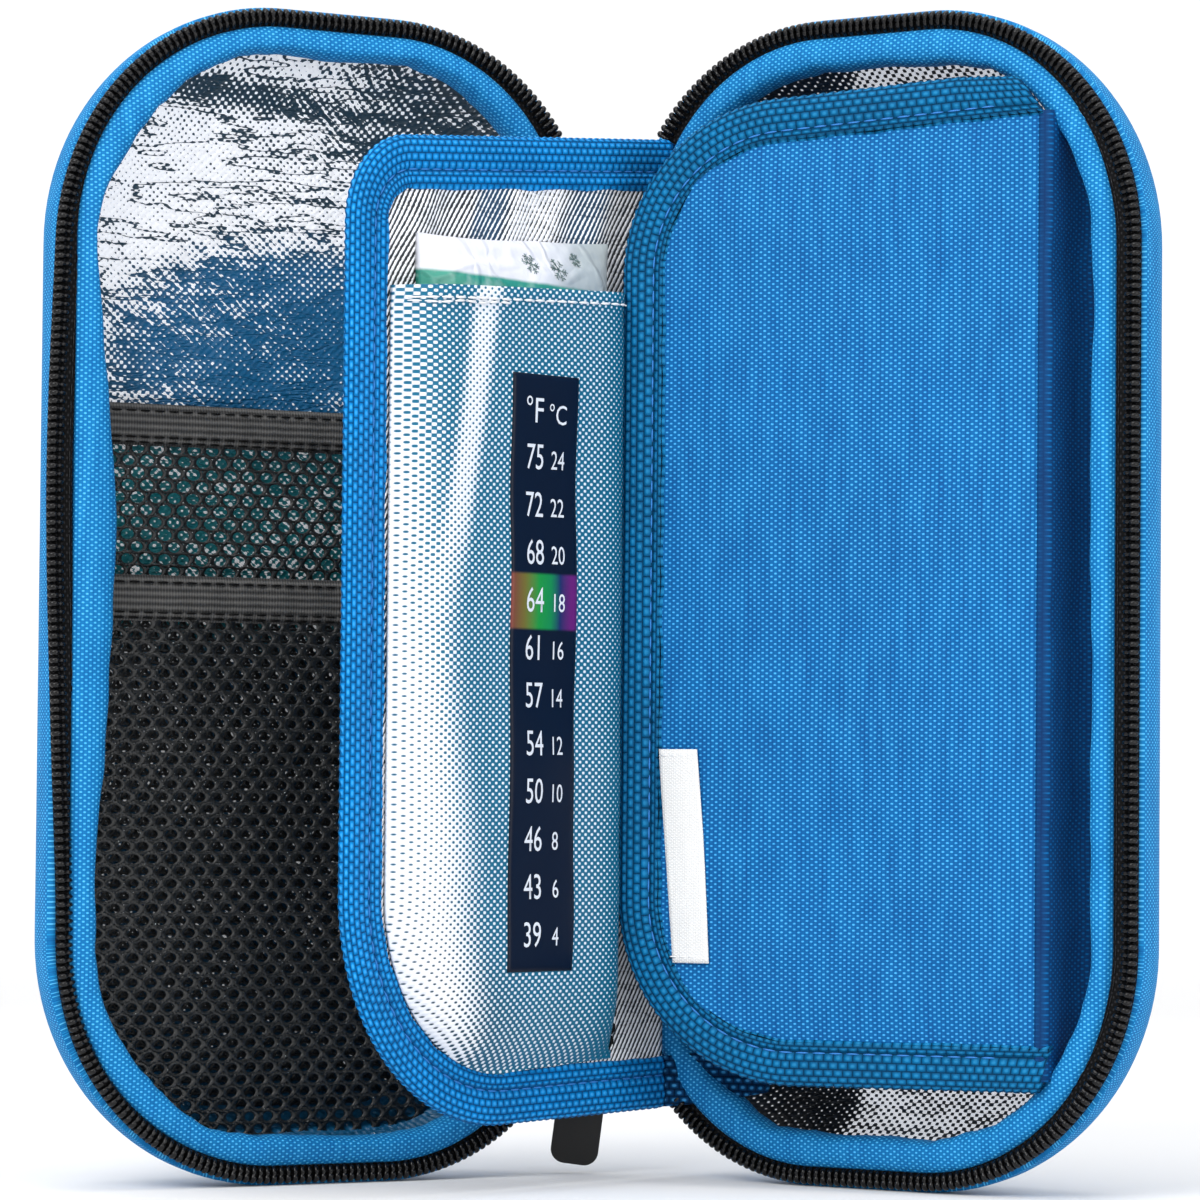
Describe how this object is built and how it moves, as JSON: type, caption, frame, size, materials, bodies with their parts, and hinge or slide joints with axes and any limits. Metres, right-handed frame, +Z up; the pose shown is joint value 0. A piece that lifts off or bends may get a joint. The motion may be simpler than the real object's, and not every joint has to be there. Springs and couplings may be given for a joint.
{
  "type": "insulin cooling case",
  "caption": "Zipped half-shell case standing open, with foil lining, mesh pockets, a hinged gel-pack page with a thermometer strip, and a bound flap.",
  "frame": {"origin": "middle of the box round the open case, on the surface that it stands on", "axes": "+Z up along the spine, +X towards the compartment half, +Y away from the viewer, behind the spine"},
  "size_m": [0.1962, 0.0866, 0.21],
  "materials": {
    "shell_fabric": "blue woven polyester over moulded foam",
    "facing_fabric": "blue woven polyester, puckered",
    "foil": "crinkled embossed aluminised film",
    "zip_tape": "black woven tape",
    "zip_coil": "black nylon coil",
    "elastic": "charcoal ribbed elastic with a stitched edge",
    "mesh": "charcoal knitted mesh",
    "webbing": "blue ribbed binding webbing with a stitched centre",
    "page_panel": "silver diamond-weave film fabric",
    "pocket_weave": "glossy silver weave",
    "gel_pack": "white film gel pack with a pale green end",
    "thermometer": "navy film strip with printed numbers",
    "flap_panel": "blue ripstop-like woven polyester",
    "label": "bare white woven label",
    "slider_metal": "black painted die-cast",
    "pull_rubber": "black moulded rubber"
  },
  "bodies": {
    "compartment": {"compartment_shell": "shell_fabric", "compartment_foil_lining": "foil", "compartment_rim_facing": "facing_fabric", "compartment_zip_tape": "zip_tape", "compartment_zip_coil": "zip_coil", "spine_strip": "shell_fabric", "pen_loops_lower": "elastic", "pen_loops_upper": "elastic", "flap_gusset": "facing_fabric", "page_hinge_strip": "facing_fabric", "zip_slider": "slider_metal", "zip_end_tape": "zip_tape"},
    "cover": {"cover_shell": "shell_fabric", "cover_foil_lining": "foil", "cover_rim_facing": "facing_fabric", "cover_zip_tape": "zip_tape", "cover_zip_coil": "zip_coil", "cover_spine_strip": "shell_fabric", "rear_mesh_pocket": "mesh", "rear_pocket_elastic": "elastic", "front_mesh_pocket": "mesh", "front_pocket_elastic": "elastic"},
    "page": {"page_panel": "page_panel", "page_binding": "webbing", "page_lower_corner": "page_panel", "page_upper_corner": "webbing", "ice_pack": "gel_pack", "page_pocket": "pocket_weave", "thermometer_strip": "thermometer"},
    "flap": {"flap_panel": "flap_panel", "flap_binding": "webbing", "flap_label": "label"},
    "pull": {"pull_tab": "pull_rubber"}
  },
  "joints": [
    {"name": "cover_hinge", "type": "hinge", "parent": "compartment", "child": "cover", "pos_m": [0.00157, 0.03128, 0.105], "axis": [0, 0, 1], "range_deg": [-65, 114.7]},
    {"name": "page_hinge", "type": "hinge", "parent": "compartment", "child": "page", "pos_m": [0.01195, 0.02414, 0.105], "axis": [0, 0, 1], "range_deg": [-50.3, 88.3], "deforming": ["page_lower_corner", "page_upper_corner"]},
    {"name": "flap_hinge", "type": "hinge", "parent": "compartment", "child": "flap", "pos_m": [0.07747, -0.02089, 0.105], "axis": [0, 0, 1], "range_deg": [-23.7, 13.5]},
    {"name": "pull_tab_swing", "type": "hinge", "parent": "compartment", "child": "pull", "pos_m": [-0.00143, 0.03508, 0.0209], "axis": [0.9925, 0, -0.1219], "range_deg": [-6, 32]}
  ],
  "couplings": [
    {"joint": "page_hinge", "follows": "cover_hinge", "ratio": 0.7681},
    {"joint": "flap_hinge", "follows": "cover_hinge", "ratio": -0.2053}
  ]
}
